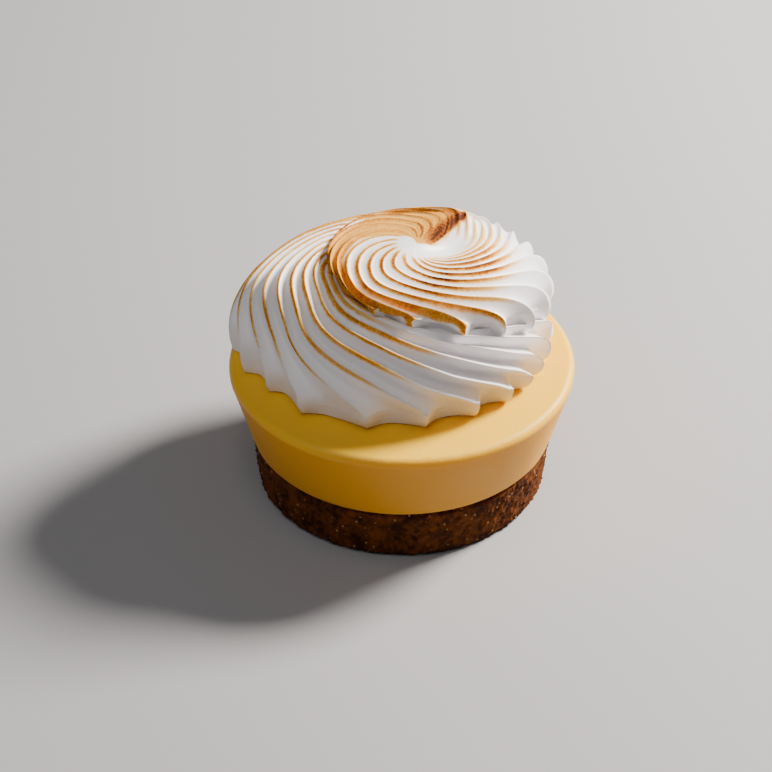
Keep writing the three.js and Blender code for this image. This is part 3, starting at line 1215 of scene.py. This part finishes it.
# A line is full within the first share of the line width and gone at the second, with a
# ragged edge. Specks, blotches and streaks make the browning uneven, by these factors.
LINE_EDGE = (0.75, 2.0)
LINE_RAGGED = 0.8
SPECK_SCALE = 1900.0
SPECK_FACTORS = (0.85, 1.12)
BLOTCH_SCALE = 130.0
BLOTCH_FACTORS = (0.75, 1.15)
STREAK_SCALE = (90.0, 2.5, 1.0)
STREAK_FACTORS = (0.8, 1.18)
COARSE_DETAIL = 2.0

# Scales are in waves a metre, and a bump's depth is in metres. The satin coat and the smooth
# finish are gone where the torching reaches these shares.
MERINGUE_PORES = (2200.0, 900.0)
MERINGUE_PORE_DEPTH = 0.00004
MATT_FROM = 0.7
WHITE_ROUGHNESS = 0.38
BROWN_ROUGHNESS = 0.8
COAT_UNTIL = 0.35
WHITE_COAT = 0.3


def toasted_colour(tree, share, settings):
    """White that turns cream, gold, brown and dark as the torch works on it."""
    node = tree.nodes.new("ShaderNodeValToRGB")
    plug(tree, node.inputs["Fac"], share)
    stops = node.color_ramp.elements
    colours = (settings.white, settings.cream, settings.gold, settings.brown, settings.dark)
    while len(stops) < len(colours):
        stops.new(1.0)
    for stop, position, colour in zip(stops, TOAST_STOPS, colours):
        stop.position = position
        stop.color = (*colour, 1.0)
    return node.outputs["Color"]


def meringue_material(settings):
    """Satin white meringue, torched along its crests and round its peak."""
    material, tree, shader = new_material("torched_meringue")
    height, mottle = pores(tree, *MERINGUE_PORES)
    place = object_place(tree)
    crest = attribute(tree, "crest")
    line = attribute(tree, "line")
    patch = attribute(tree, "patch")
    wide = settings.line_width / METRE
    full, gone = LINE_EDGE
    ragged = maths(tree, "MULTIPLY_ADD", mottle, LINE_RAGGED * wide, crest)
    near = ramp(tree, ragged, full * wide, gone * wide, 1.0, 0.0)
    specks = noise_value(tree, place, SPECK_SCALE, COARSE_DETAIL)
    specks = ramp(tree, specks, *NOISE_RANGE, *SPECK_FACTORS)
    blotches = noise_value(tree, place, BLOTCH_SCALE)
    blotches = ramp(tree, blotches, *NOISE_RANGE, *BLOTCH_FACTORS)
    lines = maths(tree, "MULTIPLY", maths(tree, "MULTIPLY", near, line), blotches)
    lines = maths(tree, "MULTIPLY", lines, specks)
    flow = tree.nodes.new("ShaderNodeMapping")
    plug(tree, flow.inputs["Vector"], tree.nodes.new("ShaderNodeTexCoord").outputs["UV"])
    flow.inputs["Scale"].default_value = STREAK_SCALE
    streaks = noise_value(tree, flow.outputs["Vector"], 1.0, COARSE_DETAIL)
    streaks = ramp(tree, streaks, *NOISE_RANGE, *STREAK_FACTORS)
    patches = maths(tree, "MULTIPLY", maths(tree, "MULTIPLY", patch, streaks), specks)
    torched = maths(tree, "MAXIMUM", lines, patches)
    colour = toasted_colour(tree, torched, settings)
    roughness = ramp(tree, torched, 0.0, MATT_FROM, WHITE_ROUGHNESS, BROWN_ROUGHNESS)
    coat = ramp(tree, torched, 0.0, COAT_UNTIL, WHITE_COAT, 0.0)
    plug(tree, shader.inputs["Base Color"], colour)
    plug(tree, shader.inputs["Roughness"], roughness)
    plug(tree, shader.inputs["Normal"], bump(tree, height, MERINGUE_PORE_DEPTH))
    plug(tree, shader.inputs["Coat Weight"], coat)
    shader.inputs["Coat Roughness"].default_value = 0.3
    shader.inputs["Subsurface Weight"].default_value = 0.1
    shader.inputs["Subsurface Radius"].default_value = (1.0, 0.8, 0.7)
    shader.inputs["Subsurface Scale"].default_value = 0.0012
    shader.inputs["Specular IOR Level"].default_value = 0.12
    return material


class PIE_OT_meringue(bpy.types.Operator):
    """Builds the two turns of piped meringue, one on the other."""

    bl_idname = "pie.meringue"
    bl_label = "Meringue"

    def execute(self, context):
        settings = context.scene.pie_meringue
        material = meringue_material(settings)
        depth = settings.ridge_depth
        lower = turn_mesh(LOWER_TURN, settings.lower_ridges, depth)
        upper = turn_mesh(UPPER_TURN, settings.upper_ridges, depth)
        finished_piece("meringue_lower_turn", lower, "meringue", material)
        finished_piece("meringue_upper_turn", upper, "meringue", material)
        return {"FINISHED"}


# ------------------------------ stage

# Metres and degrees, with the lens and the sensor in millimetres.
CAMERA_AT = (-0.00363, -0.4509, 0.3555)
CAMERA_TILT = 53.63
CAMERA_LENS = 112.2
CAMERA_SENSOR = 36.0
FLOOR_SIZE = 3.0
FLOOR_ROUGHNESS = 0.7
LIT_AT = (0, 0, 0.03)
KEY_AT = (0.60, 0.34, 0.52)
KEY_SIZE = 0.26
KEY_COLOUR = (1.0, 0.96, 0.91)
FILL_AT = (-0.25, -0.3, 0.8)
FILL_SIZE = 0.7
COOL_WHITE = (0.95, 0.96, 1.0)


def area_light(name, place, size, power, colour):
    """A soft light that faces the middle of the pie."""
    data = bpy.data.lights.new(name, "AREA")
    data.shape = "DISK"
    data.size = size
    data.energy = power
    data.color = colour
    light = linked_object(name, data)
    light.location = place
    towards = Vector(LIT_AT) - Vector(place)
    light.rotation_euler = towards.to_track_quat("-Z", "Y").to_euler()


def floor_piece(colour):
    """A wide level floor under the pie."""
    shape = bmesh.new()
    bmesh.ops.create_grid(shape, x_segments=1, y_segments=1, size=FLOOR_SIZE)
    material, _, shader = new_material("floor_paint")
    shader.inputs["Base Color"].default_value = (*colour, 1.0)
    shader.inputs["Roughness"].default_value = FLOOR_ROUGHNESS
    shaped_object("floor", shape, material)


def studio_sky(strength):
    """An even, cool light from all round."""
    world = bpy.data.worlds.new("studio")
    world.use_nodes = True
    sky = world.node_tree.nodes["Background"]
    sky.inputs["Color"].default_value = (*COOL_WHITE, 1.0)
    sky.inputs["Strength"].default_value = strength
    bpy.context.scene.world = world


def stage_camera():
    """A camera in front of the pie that looks down on it."""
    data = bpy.data.cameras.new("camera")
    data.lens = CAMERA_LENS
    data.sensor_width = CAMERA_SENSOR
    camera = linked_object("camera", data)
    camera.location = CAMERA_AT
    camera.rotation_euler = (math.radians(CAMERA_TILT), 0, 0)
    bpy.context.scene.camera = camera


class PIE_OT_stage(bpy.types.Operator):
    """Sets out the floor, the lights and the camera."""

    bl_idname = "pie.stage"
    bl_label = "Stage"

    def execute(self, context):
        settings = context.scene.pie_stage
        floor_piece(settings.floor)
        area_light("key_light", KEY_AT, KEY_SIZE, settings.key, KEY_COLOUR)
        area_light("fill_light", FILL_AT, FILL_SIZE, settings.fill, COOL_WHITE)
        studio_sky(settings.sky)
        stage_camera()
        return {"FINISHED"}


# ------------------------------ add-on

class PIE_PT_panel(bpy.types.Panel):
    """Lists the pie's pieces in the sidebar."""

    bl_idname = "PIE_PT_panel"
    bl_label = "Lemon meringue pie"
    bl_space_type = "VIEW_3D"
    bl_region_type = "UI"
    bl_category = "Pie"

    def draw(self, context):
        scene = context.scene
        for operator, settings in STEPS:
            box = self.layout.box()
            box.operator(operator.bl_idname)
            group = getattr(scene, settings)
            for name in group.__annotations__:
                box.prop(group, name)


SETTINGS = {
    "pie_crumb": PieCrumbSettings,
    "pie_lemon": PieLemonSettings,
    "pie_meringue": PieMeringueSettings,
    "pie_stage": PieStageSettings,
}

STEPS = (
    (PIE_OT_crumb, "pie_crumb"),
    (PIE_OT_lemon, "pie_lemon"),
    (PIE_OT_meringue, "pie_meringue"),
    (PIE_OT_stage, "pie_stage"),
)

CLASSES = (*SETTINGS.values(), *(operator for operator, _ in STEPS), PIE_PT_panel)


def register():
    """Registers the classes and gives each scene its settings."""
    for item in CLASSES:
        bpy.utils.register_class(item)
    for name, group in SETTINGS.items():
        setattr(bpy.types.Scene, name, PointerProperty(type=group))


def unregister():
    """Takes the settings and the classes away again."""
    for name in SETTINGS:
        delattr(bpy.types.Scene, name)
    for item in reversed(CLASSES):
        bpy.utils.unregister_class(item)


def main():
    """Builds the pie and its stage."""
    register()
    bpy.ops.pie.crumb()
    bpy.ops.pie.lemon()
    bpy.ops.pie.meringue()
    bpy.ops.pie.stage()
    bpy.context.view_layer.update()


if __name__ == "__main__":
    main()
